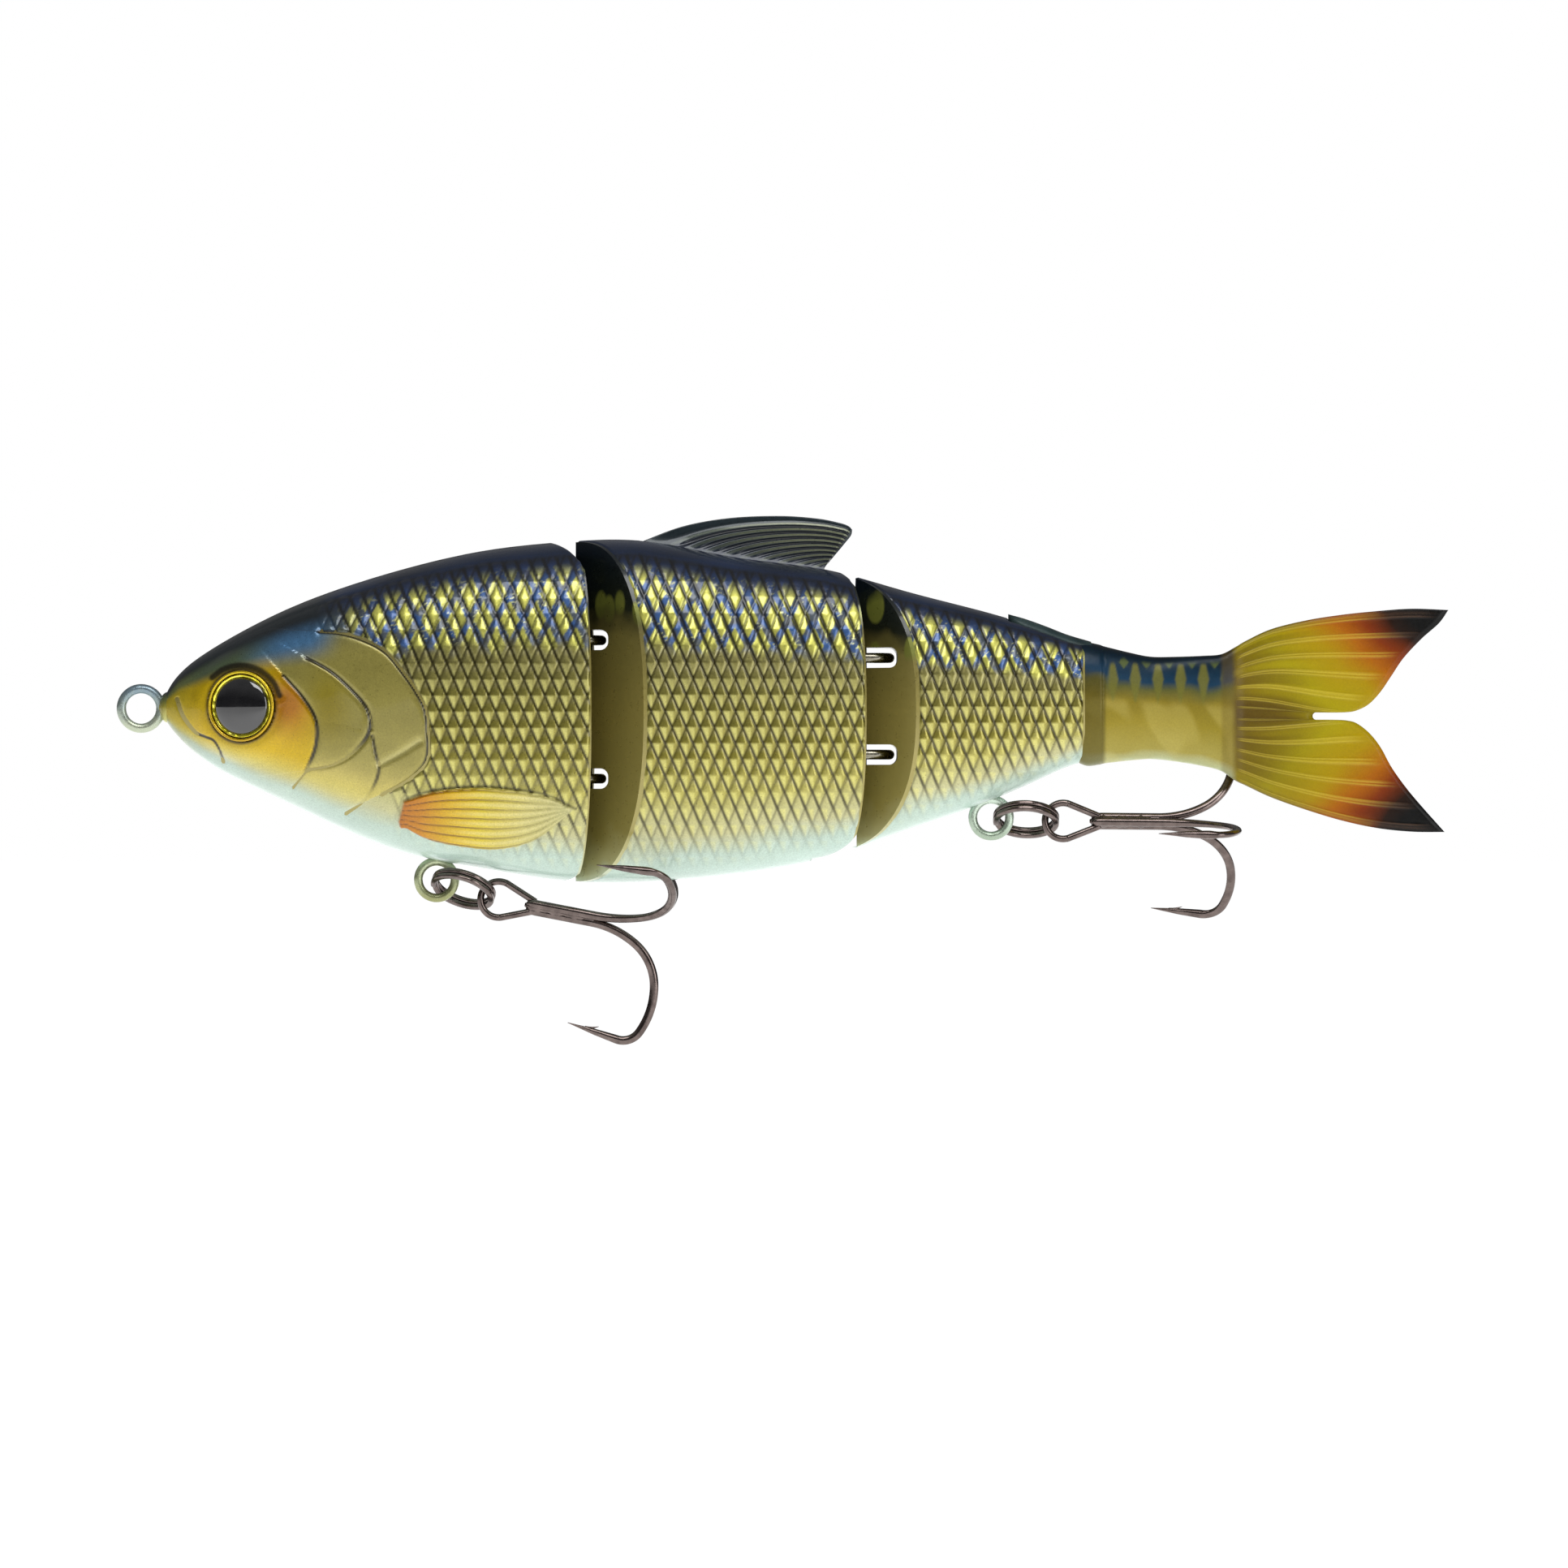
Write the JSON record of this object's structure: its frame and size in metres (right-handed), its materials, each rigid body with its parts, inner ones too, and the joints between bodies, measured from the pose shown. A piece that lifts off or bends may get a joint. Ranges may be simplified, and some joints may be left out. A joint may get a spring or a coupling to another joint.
{
  "type": "swimbait",
  "caption": "Jointed hard-bodied fish lure with a soft forked tail, a wire line tie at the nose and treble hooks hung from split rings under the belly.",
  "frame": {"origin": "centre of the line tie's hole", "axes": "+X from the nose to the tail, +Y across the body toward the fish's right side and along the line tie's hole, +Z toward the back fin"},
  "size_m": [0.2109, 0.0353, 0.0838],
  "materials": {
    "painted_shell": "painted scale pattern under clear gloss",
    "dorsal_fin": "dark painted, ribbed, glossy",
    "eye_gold": "gold foil, glossy",
    "eye_black": "polished black",
    "tie_wire": "overspray on stainless wire",
    "hanger_wire": "wire painted with the belly",
    "hinge_wire": "stainless wire",
    "ballast": "bare slugs",
    "black_nickel": "polished black nickel",
    "tail_painted": "soft plastic, painted, satin",
    "tail_translucent": "translucent soft plastic, dyed at the tips"
  },
  "bodies": {
    "head": {"head_shell_left": "painted_shell", "head_shell_right": "painted_shell", "eye_ring_left": "eye_gold", "eye_ring_right": "eye_gold", "eye_pupil_left": "eye_black", "eye_pupil_right": "eye_black", "line_tie": "tie_wire", "belly_hanger_front": "hanger_wire", "hinge_loop_front_lower": "hinge_wire", "hinge_loop_front_upper": "hinge_wire", "ballast_head": "ballast"},
    "middle": {"middle_shell_left": "painted_shell", "middle_shell_right": "painted_shell", "dorsal_fin": "dorsal_fin", "hinge_pin_front": "hinge_wire", "hinge_loop_rear_lower": "hinge_wire", "hinge_loop_rear_upper": "hinge_wire", "ballast_middle": "ballast"},
    "rear": {"rear_shell_left": "painted_shell", "rear_shell_right": "painted_shell", "hinge_pin_rear": "hinge_wire", "belly_hanger_rear": "hanger_wire", "ballast_rear": "ballast", "tail_peduncle": "tail_painted"},
    "tail": {"tail_fin": "tail_translucent"},
    "front_ring": {"split_ring_front": "black_nickel"},
    "front_hook": {"treble_hook_front": "black_nickel"},
    "rear_ring": {"split_ring_rear": "black_nickel"},
    "rear_hook": {"treble_hook_rear": "black_nickel"}
  },
  "joints": [
    {"name": "hinge_front", "type": "hinge", "parent": "head", "child": "middle", "pos_m": [0.0705, 0, 0], "axis": [0, 0, 1], "range_deg": [-24, 24]},
    {"name": "hinge_rear", "type": "hinge", "parent": "middle", "child": "rear", "pos_m": [0.1139, 0, 0], "axis": [0, 0, 1], "range_deg": [-28, 28]},
    {"name": "tail_flex", "type": "hinge", "parent": "rear", "child": "tail", "pos_m": [0.172, 0, 0], "axis": [0, 0, 1], "range_deg": [-20, 20], "stiffness_Nm_per_rad": 0.003},
    {"name": "front_ring_swing", "type": "hinge", "parent": "head", "child": "front_ring", "pos_m": [0.0465, 0, -0.0271], "axis": [0, 1, 0], "range_deg": [0, 90]},
    {"name": "front_hook_swing", "type": "hinge", "parent": "front_ring", "child": "front_hook", "pos_m": [0.05554, 0, -0.03004], "axis": [0, 1, 0], "range_deg": [0, 35]},
    {"name": "rear_ring_swing", "type": "hinge", "parent": "rear", "child": "rear_ring", "pos_m": [0.1354, 0, -0.0173], "axis": [0, 1, 0], "range_deg": [0, 90]},
    {"name": "rear_hook_swing", "type": "hinge", "parent": "rear_ring", "child": "rear_hook", "pos_m": [0.14489, 0, -0.0178], "axis": [0, 1, 0], "range_deg": [0, 35]}
  ]
}
